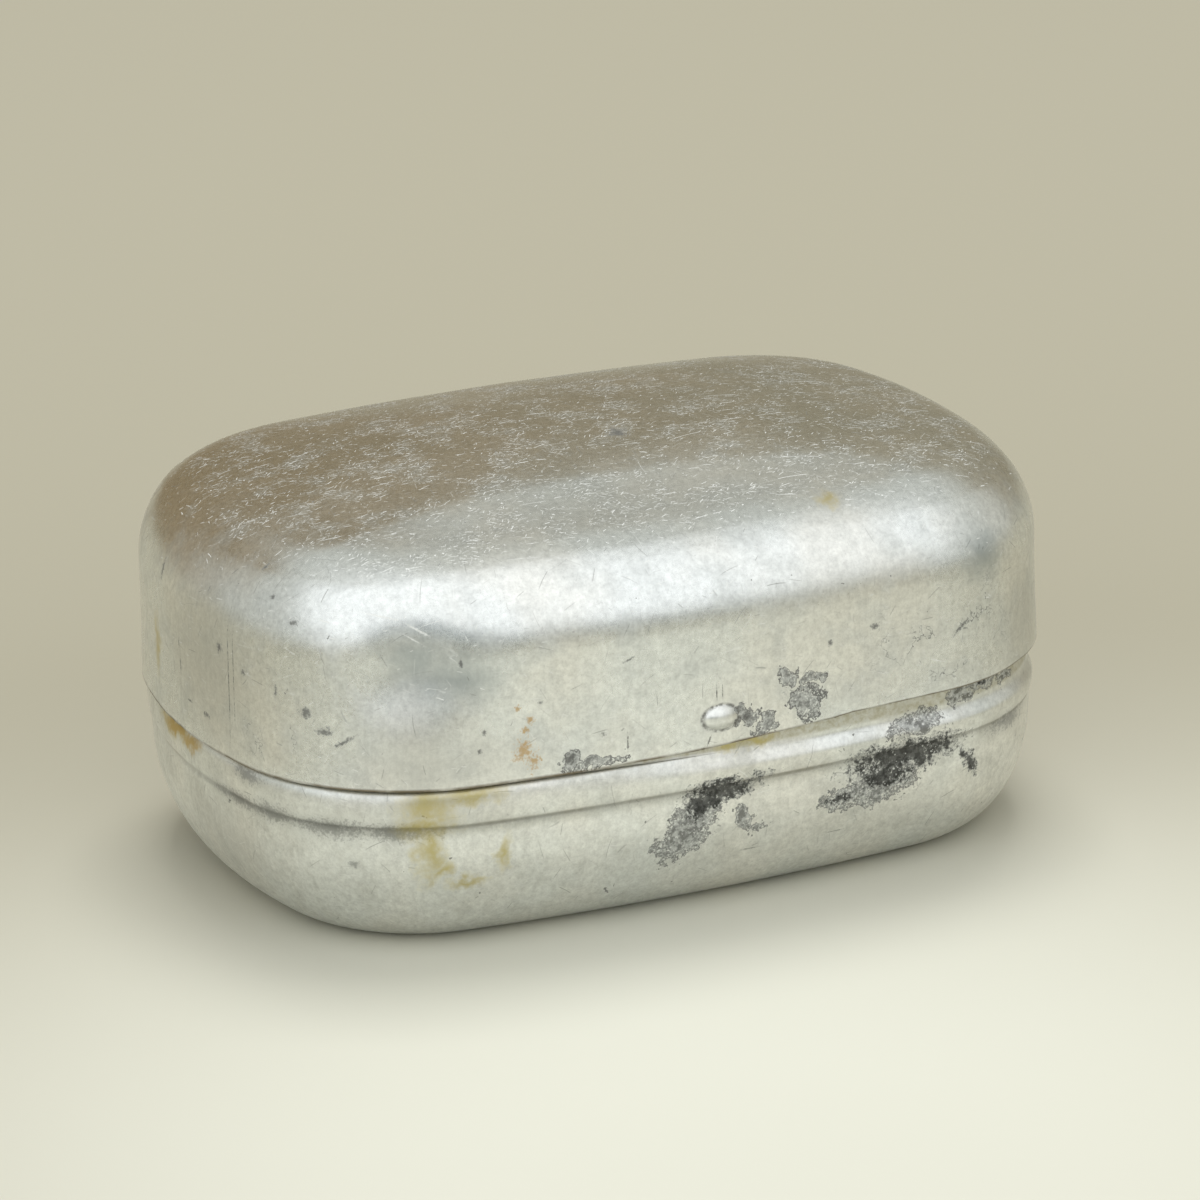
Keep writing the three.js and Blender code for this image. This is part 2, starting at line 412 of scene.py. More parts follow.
def pressPips(tree, shell, given):  # one low dome in the middle of each long side
    x, y, z = parts(tree, placeNode(tree))
    along = calc(tree, "DIVIDE", x, times(tree, given["Pip Length"], 0.5))
    over = calc(tree, "SUBTRACT", z, given["Pip Height"])
    over = calc(tree, "DIVIDE", over, times(tree, given["Pip Tall"], 0.5))
    away = calc(tree, "ADD", calc(tree, "POWER", along, 2.0), calc(tree, "POWER", over, 2.0))
    dome = calc(tree, "POWER", calc(tree, "SUBTRACT", 1.0, away, clamp=True), pressing["dome"])
    press = times(tree, dome, given["Pip Proud"], calc(tree, "SIGN", y))
    return moved(tree, shell, Offset=joined(tree, {1: press}))


def dishDepth(tree, position, given, name, crisp):  # one dish, with a soft or a crisp rim
    local = vec(tree, "SUBTRACT", position, given[name + " At"])
    away = vec(tree, "LENGTH", vec(tree, "DIVIDE", local, given[name + " Half"]), out=1)
    if crisp:
        share = calc(tree, "SUBTRACT", 1.0, calc(tree, "POWER", away, 2.0), clamp=True)
    else:
        share = ramp(tree, away, 0.0, 1.0, 1.0, 0.0)
    return times(tree, share, given[name + " Deep"])


def leaveDents(tree, shell, given):  # shallow waves, one knock and one hollow, always inwards
    position = placeNode(tree)
    z = parts(tree, position)[2]
    place = vec(tree, "ADD", position, joined(tree, {0: given["Dent Seed"]}))
    scale = calc(tree, "DIVIDE", 1.0, given["Dent Size"])
    dent = noise(tree, place, scale, pressing["dentDetail"])
    full = calc(tree, "ADD", given["Dent From"], pressing["dentFade"] * mm)
    depth = times(tree, ramp(tree, dent, *pressing["dents"]), given["Dent Depth"],
                  ramp(tree, z, given["Dent From"], full))
    depth = calc(tree, "ADD", depth, dishDepth(tree, position, given, "Knock", False))
    depth = calc(tree, "ADD", depth, dishDepth(tree, position, given, "Hollow", True))
    depth = times(tree, depth, noteNode(tree, "side"), -1.0)
    normal = put(tree, "GeometryNodeInputNormal")
    return moved(tree, shell, Offset=vec(tree, "SCALE", normal, scale=depth))


def buildShellTree():
    tree = bpy.data.node_groups.new("pressedShell", "GeometryNodeTree")
    for kind, names in shellInputs.items():
        addSockets(tree, kind, names)
    addSockets(tree, "Geometry", ["Geometry"], "OUTPUT")
    given = addNode(tree, "NodeGroupInput").outputs
    shell = closeMiddle(tree, sweepSection(tree, given))
    for stage in (trimRim, softenBead, pressPips, leaveDents):
        shell = stage(tree, shell, given)
    shell = put(tree, "GeometryNodeSetShadeSmooth", {"Geometry": shell})
    dressed = {"Geometry": shell, "Material": given["Material"]}
    shell = put(tree, "GeometryNodeSetMaterial", dressed)
    addNode(tree, "NodeGroupOutput", {"Geometry": shell})
    return tree


def pressShell(name, section, tree, things, sizes):  # sizes in mm
    sketch = sectionObject(name + "Section", section)
    modifier = sketch.modifiers.new("press", "NODES")
    modifier.node_group = tree
    socketOf = {s.name: s.identifier for s in tree.interface.items_tree if s.in_out == "INPUT"}
    for key, thing in things.items():
        modifier[socketOf[key]] = thing
    for key, size in sizes.items():
        inMetres = tuple(s * mm for s in size) if isinstance(size, tuple) else size * mm
        modifier[socketOf[key]] = inMetres
    graph = bpy.context.evaluated_depsgraph_get()
    mesh = bpy.data.meshes.new_from_object(sketch.evaluated_get(graph))
    mesh.name = name
    shell = addObject(name, mesh)
    sketch.modifiers.remove(modifier)
    bpy.data.objects.remove(sketch)
    print("pressed", name, len(mesh.polygons), "faces")
    return shell


# Shared marks, as groups: each one works in mm and puts out masks

def startGroup(name, vectors, numbers, results):
    tree = bpy.data.node_groups.new(name, "ShaderNodeTree")
    addSockets(tree, "Vector", vectors)
    addSockets(tree, "Float", numbers)
    addSockets(tree, "Float", results, "OUTPUT")
    return tree, addNode(tree, "NodeGroupInput").outputs


def randomCell(tree, place, cell):
    inputs = {"Vector": place, "Scale": calc(tree, "DIVIDE", 1.0, cell)}
    found = addNode(tree, "ShaderNodeTexVoronoi", inputs)
    return found, addNode(tree, "ShaderNodeSeparateColor", {0: found.outputs["Color"]}).outputs


strokeShape = {  # pairs are a factor and what is added, or the start and end of a fade
    "level": (0.7, 0.95), "bend": (0.5, -0.25), "reach": (0.4, 0.1),
    "taper": (0.5, 1.0, 1.0, 0.0), "body": (0.25, 0.6, 1.0, 0.0),
    "shuffle": 37.0, "fewBright": 1.8, "bright": (0.85, 0.15),
}


def buildScratches(shape):  # short strokes, one to a cell, lying in the surface
    numbers = ["Cell", "Length", "Width", "Turn", "Spread", "Amount"]
    tree, given = startGroup("scratches", ["Place"], numbers, ["Mask"])
    normal = addNode(tree, "ShaderNodeTexCoord").outputs["Normal"]
    level = ramp(tree, calc(tree, "ABSOLUTE", parts(tree, normal)[2]), *shape["level"])
    around = vec(tree, "CROSS_PRODUCT", (0, 0, 1), normal)
    along = vec(tree, "NORMALIZE", mixed(tree, level, around, (1, 0, 0), "VECTOR"))
    across = vec(tree, "CROSS_PRODUCT", normal, along)
    found, (first, second, third) = randomCell(tree, given["Place"], given["Cell"])
    local = vec(tree, "SUBTRACT", given["Place"], found.outputs["Position"])
    angle = scaled(tree, centred(tree, first), given["Spread"], given["Turn"])
    u, v = (vec(tree, "DOT_PRODUCT", local, way, out=1) for way in (along, across))
    cosine, sine = calc(tree, "COSINE", angle), calc(tree, "SINE", angle)
    run = calc(tree, "ADD", times(tree, u, cosine), times(tree, v, sine))
    off = calc(tree, "SUBTRACT", times(tree, v, cosine), times(tree, u, sine))
    bend = calc(tree, "DIVIDE", times(tree, run, run), given["Length"])
    off = scaled(tree, bend, scaled(tree, second, *shape["bend"]), off)
    reach = times(tree, scaled(tree, second, *shape["reach"]), given["Length"])
    run = calc(tree, "DIVIDE", calc(tree, "ABSOLUTE", run), reach)
    off = calc(tree, "DIVIDE", calc(tree, "ABSOLUTE", off), given["Width"])
    kept = calc(tree, "LESS_THAN", third, given["Amount"])
    mask = maskOf(tree, (run, shape["taper"]), (off, shape["body"]), kept)
    bright = calc(tree, "FRACT", times(tree, third, shape["shuffle"]))
    bright = calc(tree, "POWER", bright, shape["fewBright"])
    mask = times(tree, mask, scaled(tree, bright, *shape["bright"]))
    addNode(tree, "NodeGroupOutput", {"Mask": mask})
    return tree


speckShape = {"wide": (0.35, 0.15), "edge": (0.7, 1.05, 1.0, 0.0)}


def buildSpecks(shape):  # small irregular dots
    tree, given = startGroup("specks", ["Place"], ["Cell", "Size", "Amount"], ["Mask"])
    found, colour = randomCell(tree, given["Place"], given["Cell"])
    wide = times(tree, scaled(tree, colour[0], *shape["wide"]), given["Size"])
    share = calc(tree, "DIVIDE", times(tree, found.outputs["Distance"], given["Cell"]), wide)
    kept = calc(tree, "LESS_THAN", colour[1], given["Amount"])
    addNode(tree, "NodeGroupOutput", {"Mask": maskOf(tree, (share, shape["edge"]), kept)})
    return tree


def buildSpot():  # 1 in the middle of an oval, 0 at its edge, below 0 outside
    tree, given = startGroup("spot", ["Place", "Middle", "Half"], ["Turn"], ["Inside"])
    local = vec(tree, "SUBTRACT", given["Place"], given["Middle"])
    inputs = {"Vector": local, "Angle": given["Turn"]}
    turned = put(tree, "ShaderNodeVectorRotate", inputs, rotation_type="Y_AXIS")
    away = vec(tree, "LENGTH", vec(tree, "DIVIDE", turned, given["Half"]), out=1)
    addNode(tree, "NodeGroupOutput", {"Inside": calc(tree, "SUBTRACT", 1.0, away)})
    return tree


corrosionShape = {
    "ragged": 1.5, "edgeIn": (0.0, 0.1), "edgeOut": (0.12, 0.3, 1.0, 0.0),
    "cover": (0.0, 0.4), "dark": (0.05, 0.6),
}


def buildCorrosion(shape):  # breaks a field of ovals into cover and darkness by pits and grain
    results = ["Cover", "Dark", "Edge"]
    tree, given = startGroup("corrosion", [], ["Inside", "Pits", "Grain"], results)
    pits = centred(tree, given["Pits"])
    tone = scaled(tree, pits, shape["ragged"], given["Inside"])
    edge = maskOf(tree, (tone, shape["edgeIn"]), (tone, shape["edgeOut"]))
    grain = calc(tree, "SUBTRACT", 0.5, given["Grain"])
    tone = scaled(tree, grain, shape["ragged"], tone)
    cover, dark = ramp(tree, tone, *shape["cover"]), ramp(tree, tone, *shape["dark"])
    addNode(tree, "NodeGroupOutput", {"Cover": cover, "Dark": dark, "Edge": edge})
    return tree


scratchGroup, speckGroup = buildScratches(strokeShape), buildSpecks(speckShape)
spotGroup, corrosionGroup = buildSpot(), buildCorrosion(corrosionShape)


def placeGroup(tree, group, values):
    return addNode(tree, "ShaderNodeGroup", values, node_tree=group).outputs


def scattered(tree, place, group, kind, amount):  # one kind of stroke or speck, shifted to differ
    values = {key: value for key, value in kind.items() if key not in ("shift", "share")}
    values["Place"] = vec(tree, "ADD", place, kind["shift"])
    values["Amount"] = times(tree, amount, kind["share"])
    return placeGroup(tree, group, values)[0]


def stroke(shift, cell, length, width, spread, turn=0.0, share=1.0):  # mm and radians
    return {"shift": shift, "Cell": cell, "Length": length, "Width": width, "Spread": spread,
            "Turn": turn, "share": share}


def speck(shift, cell, size, share=1.0):  # mm
    return {"shift": shift, "Cell": cell, "Size": size, "share": share}


ovalDepth = {"side": 7.0, "end": 7.0, "top": 4.0}  # mm, on a long side, an end or the top


def spotField(tree, place, spots):  # the ovals of one kind of mark, as one field
    field = -9.0  # well outside every oval
    for on, deep in ovalDepth.items():
        for x, y, z, halfLong, halfTall, *turn in spots.get(on, []):
            half = {"side": (halfLong, deep, halfTall), "end": (deep, halfLong, halfTall),
                    "top": (halfLong, halfTall, deep)}[on]
            inputs = {"Place": place, "Middle": (x, y, z), "Half": half,
                      "Turn": radians(sum(turn))}
            field = most(tree, field, placeGroup(tree, spotGroup, inputs)[0])
    return field


def edgeNote(tree, name):  # a note that the pressed mesh carries from its section
    return addNode(tree, "ShaderNodeAttribute", attribute_name=name).outputs["Fac"]


# Places and patterns that all layers of a metal share, in mm

patterns = {  # shift, size, detail and roughness of each noise
    "cloud": ((0, 0, 0), 15, 2.0, 0.55), "patch": ((40, 0, 0), 4.5, 3.0, 0.6),
    "grain": ((0, 0, 0), 0.3, 2.0, 0.7), "pits": ((0, 40, 0), 0.75, 3.0, 0.7),
    "wave": ((0, 0, 0), 5.0, 1.0, 0.5),
}
swaying = {"Scale": 0.42, "Detail": 3.0, "Roughness": 0.6}
swayReach, farOff, levelSpan = 4.2, 500.0, (0.7, 0.97)


def startMetal(name):
    material = bpy.data.materials.new(name)
    material.use_nodes = True
    tree = material.node_tree
    found = addNode(tree, "ShaderNodeTexCoord").outputs
    place = vec(tree, "SCALE", found["Object"], scale=1 / mm)
    sway = addNode(tree, "ShaderNodeTexNoise", {"Vector": place, **swaying}).outputs
    warp = vec(tree, "SUBTRACT", sway["Color"], (0.5, 0.5, 0.5))
    warp = vec(tree, "SCALE", warp, scale=swayReach)
    outer = calc(tree, "GREATER_THAN", edgeNote(tree, "side"), 0.0)
    lifted = scaled(tree, outer, -farOff, farOff)  # inner faces miss the outer marks
    outside = vec(tree, "ADD", place, joined(tree, {2: lifted}))
    upright = calc(tree, "ABSOLUTE", parts(tree, found["Normal"])[2])
    on = {"place": place, "outside": outside, "warped": vec(tree, "ADD", outside, warp),
          "sway": sway[0], "outer": outer, "height": parts(tree, place)[2],
          "level": ramp(tree, upright, *levelSpan)}
    for key, (shift, size, *look) in patterns.items():
        on[key] = noise(tree, vec(tree, "ADD", place, shift), 1 / size, *look)
    return material, tree, on


# A coat is the metal's colour, roughness and metallic so far; cover lays something on it

def layer(red, green, blue, rough, metal, share=1.0):
    return {"colour": (red, green, blue, 1), "rough": rough, "metal": metal, "share": share}


def cover(tree, coat, mask, laid):
    mask = times(tree, mask, laid["share"])
    kinds = {"colour": "RGBA", "rough": "FLOAT", "metal": "FLOAT"}
    return {key: mixed(tree, mask, coat[key], laid[key], kind) for key, kind in kinds.items()}


bare = {
    "clouds": (0.35, 0.65), "dull": (0.42, 0.75), "roughClouds": (0.3, 0.7),
    "lineStretch": (1, 1, 0.06), "lines": (2.0, 1.0),  # scale and detail
    "dullRough": 0.3, "grainRough": 0.15,
}


def bareMetal(tree, on, finish):  # cloudy handling marks, drawing lines and a fine grain
    stretched = vec(tree, "MULTIPLY", on["place"], bare["lineStretch"])
    lines = noise(tree, stretched, *bare["lines"])
    clouds = ramp(tree, on["cloud"], *bare["clouds"])
    colour = mixed(tree, clouds, finish["cool"], finish["warm"])
    dull = maskOf(tree, (on["patch"], bare["dull"]), finish["dull"])
    colour = mixed(tree, dull, colour, finish["dullColour"])
    lines = scaled(tree, lines, finish["lines"], -0.5 * finish["lines"])
    grain = scaled(tree, on["grain"], finish["grain"], 1 - 0.5 * finish["grain"])
    shade = calc(tree, "ADD", lines, grain)
    shade = scaled(tree, centred(tree, on["pits"]), finish["mottle"], shade)
    clouds = ramp(tree, on["cloud"], *bare["roughClouds"])
    rough = scaled(tree, clouds, finish["roughSpread"], finish["rough"])
    rough = scaled(tree, dull, bare["dullRough"], rough)
    rough = scaled(tree, centred(tree, on["grain"]), bare["grainRough"], rough)
    return {"colour": vec(tree, "SCALE", colour, scale=shade), "rough": rough, "metal": 1.0}


# fade of the painted darker reflections, then of the smudges, and how ragged stains are
paintedReflectionFade, smudgeFade, stainRag = (-0.1, 1.0), (-0.1, 0.9), 0.9


def paintedReflection(tree, coat, on, filmAndPaintedReflection):  # painted darker reflection: soft ovals of darker, tinted metal colour that the metal still shows through
    mask = ramp(tree, spotField(tree, on["warped"], filmAndPaintedReflection), *paintedReflectionFade)
    return cover(tree, coat, mask, filmAndPaintedReflection["laid"])


wear = {
    "crowd": (0.42, 0.64, 0.15, 1.0), "onLevel": (0.85, 0.15),
    "strokes": [
        stroke((13, 0, 50), 0.85, 1.4, 0.11, 1.8), stroke((5, 61, 20), 0.6, 1.0, 0.09, 2.4),
        stroke((0, 0, 0), 1.7, 2.4, 0.1, 0.7, share=0.8),
        stroke((0, 27, 0), 4.2, 6.5, 0.11, 0.5, share=0.6)],
    "dots": speck((0, 0, 0), 0.9, 0.26, share=0.6),
    "laid": layer(0.88, 0.89, 0.88, 0.5, 0.2),
}


def paleWear(tree, coat, on, finish):  # bright handling scratches, thickest on the level top
    crowd = ramp(tree, on["patch"], *wear["crowd"])
    level = scaled(tree, on["level"], *wear["onLevel"])
    often = times(tree, level, crowd, finish["wear"])
    marks = [scattered(tree, on["place"], scratchGroup, kind, often) for kind in wear["strokes"]]
    dots = scattered(tree, on["place"], speckGroup, wear["dots"], often)
    laid = dict(wear["laid"], share=finish["wearBright"])
    return cover(tree, coat, most(tree, *marks, dots), laid)


hairlines = [  # faint ones, pale and dark, in all directions
    {"kind": stroke((31, 7, 0), 2.2, 3.6, 0.11, 3.0),
     "laid": layer(0.9, 0.91, 0.9, 0.45, 0.6, 0.5)},
    {"kind": stroke((7, 31, 9), 2.7, 3.2, 0.11, 3.0, 0.6),
     "laid": layer(0.2, 0.2, 0.19, 0.5, 0.7, 0.5)},
]


def handlingLines(tree, coat, on, finish):
    for line in hairlines:
        mask = scattered(tree, on["place"], scratchGroup, line["kind"], finish["handling"])
        coat = cover(tree, coat, mask, line["laid"])
    return coat


pitting = {
    "dots": speck((71, 0, 0), 1.9, 0.55), "nicks": stroke((0, 0, 17), 4.5, 1.8, 0.2, 2.6, 0.8),
    "more": 0.3, "nickShare": 0.6, "laid": layer(0.1, 0.1, 0.095, 0.6, 0.4, 0.75),
}


def darkPits(tree, coat, on, finish, thick):  # tiny dark pits and nicks, more where thick is 1
    often = scaled(tree, thick, pitting["more"], finish["pits"])
    dots = scattered(tree, on["warped"], speckGroup, pitting["dots"], often)
    nicks = scattered(tree, on["place"], scratchGroup, pitting["nicks"], often)
    mask = most(tree, dots, times(tree, nicks, pitting["nickShare"]))
    return cover(tree, coat, mask, pitting["laid"])


rusting = {
    "broken": (0.38, 0.62), "rough": 0.48, "metal": 0.6, "edge": layer(0.1, 0.1, 0.098, 0.55, 0.5),
    "salt": speck((0, 0, 90), 0.42, 0.38), "saltGrain": (0.38, 0.58),
    "saltLaid": layer(0.76, 0.77, 0.76, 0.5, 0.5, 0.85),
}
darkRust = {"filmAndPaintedReflection": (0.42, 0.43, 0.42, 1), "core": (0.03, 0.031, 0.03, 1),
            "share": 0.95, "edge": 0.3, "salt": 0.4, "broken": 0.2}
greyRust = {"filmAndPaintedReflection": (0.56, 0.575, 0.57, 1), "core": (0.11, 0.113, 0.11, 1),
            "share": 0.85, "edge": 0.75, "salt": 0.6, "broken": 0.85}
paleRust = dict(greyRust, core=(0.13, 0.133, 0.13, 1), edge=0.9, salt=0.3)


def corroded(tree, coat, on, spots, kind):  # dark core in a grey film, with white salt specks
    inside = spotField(tree, on["warped"], spots)
    inputs = {"Inside": inside, "Pits": on["pits"], "Grain": on["grain"]}
    made = placeGroup(tree, corrosionGroup, inputs)
    broken = ramp(tree, on["pits"], *rusting["broken"], 1 - kind["broken"], 1.0)
    colour = mixed(tree, times(tree, made["Dark"], broken), kind["filmAndPaintedReflection"], kind["core"])
    crust = {"colour": colour, "rough": rusting["rough"], "metal": rusting["metal"]}
    coat = cover(tree, coat, made["Cover"], dict(crust, share=kind["share"]))
    coat = cover(tree, coat, made["Edge"], dict(rusting["edge"], share=kind["edge"]))
    salt = scattered(tree, on["place"], speckGroup, rusting["salt"], kind["salt"])
    salt = maskOf(tree, salt, made["Cover"], (on["grain"], rusting["saltGrain"]))
    return cover(tree, coat, salt, rusting["saltLaid"])


def stained(tree, coat, on, stain):  # thin stain with ragged edges
    field = spotField(tree, on["warped"], stain)
    field = scaled(tree, centred(tree, on["pits"]), stainRag, field)
    return cover(tree, coat, ramp(tree, field, *stain["fade"]), stain["laid"])


def smudged(tree, coat, on, dirt):  # soft dirt, broken by the grain and the pits
    rag = dirt["rag"]
    broken = scaled(tree, calc(tree, "ADD", on["grain"], on["pits"]), rag, -rag)
    field = calc(tree, "ADD", spotField(tree, on["outside"], dirt), broken)
    return cover(tree, coat, ramp(tree, field, *smudgeFade), dirt["laid"])


soap = {
    "dull": (0.35, 0.7, 0.2, 0.75), "dullLaid": layer(0.6, 0.6, 0.57, 0.55, 0.45),
    "low": (1.5, 13.0, 1.0, 0.0), "bloom": (0.38, 0.66),
    "bloomLaid": layer(0.74, 0.73, 0.68, 0.7, 0.15, 0.5),
    "line": (0.004, 0.02, 0.35, 0.0), "tide": (0.47, 0.6),
    "tideLaid": layer(0.42, 0.4, 0.33, 0.6, 0.3),
}


def insideFilm(tree, coat, on):  # dull bloom and tide lines that soap leaves on the inner faces
    inner = calc(tree, "SUBTRACT", 1.0, on["outer"])
    dull = maskOf(tree, inner, (on["patch"], soap["dull"]))
    coat = cover(tree, coat, dull, soap["dullLaid"])
    bloom = maskOf(tree, inner, (on["height"], soap["low"]), (on["patch"], soap["bloom"]))
    coat = cover(tree, coat, bloom, soap["bloomLaid"])
    lines = awayFrom(tree, on["cloud"], 0.5)
    tide = maskOf(tree, inner, (lines, soap["line"]), (on["patch"], soap["tide"]))
    return cover(tree, coat, tide, soap["tideLaid"])


def wornMetal(name, finish, paintedReflections):  # what lies under the marks of lid and base alike, with the painted darker reflections
    material, tree, on = startMetal(name)
    coat = bareMetal(tree, on, finish)
    # painted darker reflections, laid as films of darker metal colour
    for filmAndPaintedReflection in paintedReflections:
        coat = paintedReflection(tree, coat, on, finish[filmAndPaintedReflection])
    coat = handlingLines(tree, coat, on, finish)
    return material, tree, on, paleWear(tree, coat, on, finish)


def finishMetal(material, tree, coat, on, finish):
    shader = tree.nodes["Principled BSDF"]
    height = calc(tree, "ADD", times(tree, on["grain"], finish["grainDepth"]),
                  times(tree, on["wave"], finish["waveDepth"]))
    bump = addNode(tree, "ShaderNodeBump", {"Height": height, "Distance": mm, "Strength": 1.0})
    for key, socket in (("Base Color", coat["colour"]), ("Roughness", coat["rough"]),
                        ("Metallic", coat["metal"]), ("Normal", bump.outputs[0])):
        tree.links.new(socket, shader.inputs[key])
    return material


# The lid's finish: what lies on it and where. A row is one mark, in mm: x, y, z of its middle, half
# its length and height, and its turn in degrees.

lidFinish = {
    "cool": (0.8, 0.825, 0.825, 1), "warm": (0.83, 0.83, 0.8, 1),
    "dullColour": (0.56, 0.585, 0.58, 1), "dull": 0.38, "rough": 0.26, "roughSpread": 0.06,
    "lines": 0.14, "mottle": 0.58, "grain": 0.3, "grainDepth": 0.002, "waveDepth": 0.012,
    "wear": 0.95, "wearBright": 0.95, "pits": 0.12, "handling": 0.55,
    # painted darker reflection: ovals where the metal's colour is darkened to stand in for darker
    # surroundings that it reflects
    "paintedDullReflection": {"laid": layer(0.5, 0.505, 0.49, 0.34, 1.0, 0.5), "side": [
        (-33, -32, 22.5, 15, 6.5), (42, -27, 26, 10, 9)], "end": [(-49, -8, 30, 14, 12)]},
    # painted darker bluish reflection: ovals below the front's highlight band, one over the knock
    "paintedBlueReflection": {"laid": layer(0.44, 0.485, 0.505, 0.34, 1.0, 0.75), "side": [
        (-33.8, -31.2, 34.2, 5.5, 4.4), (-29.8, -32.4, 32.2, 7, 3.8), (34, -32, 35.5, 4, 3.5)]},
    "speckled": {"fade": (0.0, 0.7), "side": [(29, -33, 28, 15, 9), (-45, -20, 26, 9, 9)]},
    "hairs": {"line": (0.004, 0.012, 1.0, 0.0), "where": (0.5, 0.6),
              "laid": layer(0.16, 0.16, 0.15, 0.5, 0.5, 0.7)},
    "greyPatches": {"side": [(3, -35, 23, 1.7, 0.9, 15), (5.3, -35, 21.7, 1.5, 1.2, 20),
        (10.4, -35, 23.5, 2.1, 2.6, 60), (8.6, -35, 26.9, 1.4, 1.1), (11.6, -35, 26, 2, 0.5, 3),
        (-17.4, -35, 21.4, 1.4, 1.2), (-14.6, -35, 20.5, 3.6, 0.8, 6),
        (17, 35, 22.6, 2.3, 1.4, -15), (20.5, 34.5, 24.2, 1.2, 0.9)],
        "end": [(48.8, 6, 22.4, 2.4, 1.1)]},
    "dots": {"laid": layer(0.12, 0.12, 0.115, 0.5, 0.6, 0.8), "rag": 2.2, "side": [
        (-44.1, -24.4, 28, 0.6, 0.7), (-42.6, -26.3, 26.2, 0.8, 0.6),
        (-41, -28, 25.2, 1.6, 0.25, 40), (19.3, -34.5, 30.5, 0.6, 0.4),
        (13.6, -34.9, 29.6, 0.4, 0.4), (-29.2, -32.4, 33.8, 0.25, 0.7),
        (30.5, -33, 28.2, 1.6, 0.3, 35), (-0.4, -35.4, 26.2, 0.1, 1.1),
        (0.3, -35.4, 26.2, 0.08, 0.9), (-1.5, -35.4, 20.9, 1.1, 0.12, 66),
        (-2.1, -35.3, 20.1, 0.5, 0.35), (2.9, -35, 23.2, 1, 0.6, 20), (-17.6, -35, 21.6, 0.9, 0.8),
        (-27.2, -33.9, 25.9, 0.35, 0.4), (-27.8, -33.9, 23.8, 0.4, 0.35),
        (-20.8, -34.4, 28.4, 0.3, 0.3), (-13.8, -35, 23.8, 0.4, 0.35), (-11, -35.2, 22.6, 0.13, 1),
        (-10.6, -35.1, 31.8, 0.8, 0.2, 20), (-14, 35, 29, 0.6, 0.5), (5, 35.5, 31, 0.5, 0.7),
        (-30, 33, 26.5, 0.8, 0.5, 30)], "end": [(-48.8, -11.5, 32.2, 0.7, 0.8),
        (-48.5, -13.3, 29, 0.13, 7.5), (-48.4, -14.3, 30, 0.1, 5.5), (-49.8, -1.5, 27.5, 0.2, 1.4),
        (-49.8, -1.3, 29.8, 0.16, 0.6), (-49.7, -3.8, 23.8, 0.7, 0.18),
        (-49.4, -8.1, 23.4, 0.8, 0.4), (-49.3, 4.3, 36.7, 0.4, 1.3), (-47.9, -16.2, 30.6, 0.5, 0.4),
        (-46.1, -21.1, 29.8, 0.25, 0.9), (-45.2, -18.9, 39.7, 0.4, 0.35),
        (-44.3, -22.6, 37.7, 0.6, 0.4)], "top": [(1.3, -6.7, 47.9, 1.4, 1.8),
        (-44.4, -15.3, 41.9, 0.5, 0.35)]},
    "glints": {"laid": layer(0.9, 0.91, 0.9, 0.5, 0.6, 0.8), "rag": 1.2, "side": [
        (-36.7, -28.8, 39.1, 2.4, 0.13, -14), (-33.1, -30.8, 37.5, 2.4, 0.13, -32),
        (-33.8, -30.6, 36.6, 1.7, 0.1, -34), (-44.8, -21.5, 34.6, 0.6, 0.16, -40),
        (1.8, -35.4, 31, 2, 0.1, 10), (27.2, -33.5, 25, 1.4, 0.1, -20)]},
    "pipRing": {"edge": (0.03, 0.2, 1.0, 0.0), "broken": (0.35, 0.65),
                "laid": layer(0.12, 0.115, 0.1, 0.6, 0.4, 0.85),
                "long": 0.53, "tall": 0.55, "atY": 36},  # shares of the pip's size; mm
    "yellow": {"laid": layer(0.54, 0.45, 0.18, 0.36, 0.75, 0.85), "fade": (-0.4, 1.1), "end": [
        (-49.6, 6.3, 27.2, 1.2, 3.4)], "top": [(16.5, -28, 44, 1.8, 1.6)]},
    "rust": {"laid": layer(0.5, 0.3, 0.08, 0.5, 0.6, 0.75), "rag": 2.8, "side": [
        (-22.5, -34.3, 25.5, 0.45, 0.45), (-23, -34.3, 23.4, 1, 1.5),
        (-21.9, -34.5, 21.9, 0.9, 1.3), (-22, -34.4, 26.6, 0.4, 0.6),
        (-23.4, -34.2, 28.1, 0.35, 0.35)]},
    "rim": {"edge": (0.9, 0.97), "broken": (0.3, 0.6, 0.4, 0.95),
            "laid": layer(0.16, 0.125, 0.07, 0.6, 0.4)},
}


def lidMetal(finish):
    material, tree, on, coat = wornMetal("agedLid", finish, ("paintedDullReflection", "paintedBlueReflection"))
    speckled, hairs, ring, rim = (finish[key] for key in ("speckled", "hairs", "pipRing", "rim"))
    rougher = ramp(tree, spotField(tree, on["outside"], speckled), *speckled["fade"])
    coat = darkPits(tree, coat, on, finish, rougher)
    lines = awayFrom(tree, on["sway"], 0.5)
    mask = maskOf(tree, (lines, hairs["line"]), rougher, (on["patch"], hairs["where"]))
    coat = cover(tree, coat, mask, hairs["laid"])
    coat = corroded(tree, coat, on, finish["greyPatches"], paleRust)
    coat = smudged(tree, coat, on, finish["dots"])
    coat = smudged(tree, coat, on, finish["glints"])
    around = {"side": [(0, y, pipHeight, pip["length"] * ring["long"], pip["tall"] * ring["tall"])
                       for y in (-ring["atY"], ring["atY"])]}
    away = calc(tree, "ABSOLUTE", spotField(tree, on["outside"], around))
    mask = maskOf(tree, (away, ring["edge"]), (on["pits"], ring["broken"]))
    coat = cover(tree, coat, mask, ring["laid"])
    coat = stained(tree, coat, on, finish["yellow"])
    coat = smudged(tree, coat, on, finish["rust"])
    mask = maskOf(tree, (edgeNote(tree, "trim"), rim["edge"]), (on["patch"], rim["broken"]))
    coat = cover(tree, coat, mask, rim["laid"])
    return finishMetal(material, tree, insideFilm(tree, coat, on), on, finish)


# The base's finish

